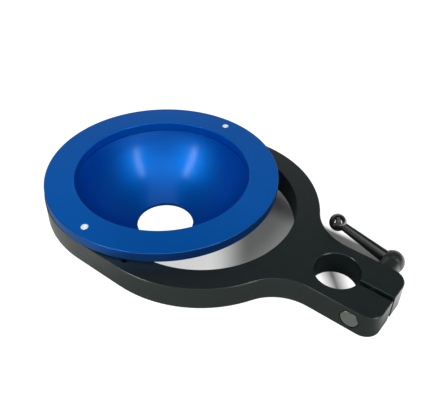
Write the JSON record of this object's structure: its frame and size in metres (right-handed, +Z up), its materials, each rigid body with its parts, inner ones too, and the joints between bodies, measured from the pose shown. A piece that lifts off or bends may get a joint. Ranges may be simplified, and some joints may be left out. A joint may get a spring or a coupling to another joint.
{
  "type": "column bracket with a removable spherical bowl",
  "caption": "Flat ring bracket with a lever-locked split clamp for a round column; a flanged spherical bowl with a drain hole drops into its long opening on locating pins.",
  "frame": {"origin": "on the axis of the clamp's column bore, at the plate's mid-thickness", "axes": "+Z up along the column, +X from the ring towards the clamp's split end, so the bowl is at -X; +Y is the lever's side"},
  "size_m": [0.3144, 0.1966, 0.0611],
  "materials": {
    "black_anodised": "satin black anodised, machined",
    "blue_anodised": "satin blue anodised, turned",
    "pin_steel": "ground bright steel",
    "bolt_steel": "dull zinc-plated steel",
    "hub_blackened": "matt blackened steel",
    "arm_gloss_black": "polished black steel",
    "knob_black": "glossy black phenolic",
    "brass": "turned"
  },
  "bodies": {
    "bracket": {"ring_bracket": "black_anodised", "clamp_bolt": "bolt_steel"},
    "bowl": {"bowl_flange": "blue_anodised", "bowl_shell": "blue_anodised", "locating_pin_front": "pin_steel", "locating_pin_rear": "pin_steel"},
    "washer": {"thrust_washer": "bolt_steel"},
    "lever": {"lever_hub": "hub_blackened", "lever_arm": "arm_gloss_black", "ball_knob": "knob_black", "knob_insert": "brass"}
  },
  "joints": [
    {"name": "bowl_lift", "type": "slide", "parent": "bracket", "child": "bowl", "axis": [0, 0, 1], "range_m": [0, 0.065]},
    {"name": "washer_float", "type": "slide", "parent": "bracket", "child": "washer", "axis": [0, 1, 0], "range_m": [0, 0.0025]},
    {"name": "lever_turn", "type": "hinge", "parent": "washer", "child": "lever", "pos_m": [0.025, 0.0435, 0], "axis": [0, 1, 0], "range_deg": [0, 720]}
  ],
  "couplings": [
    {"joint": "washer_float", "follows": "lever_turn", "m_per_rad": 0.00019894}
  ]
}
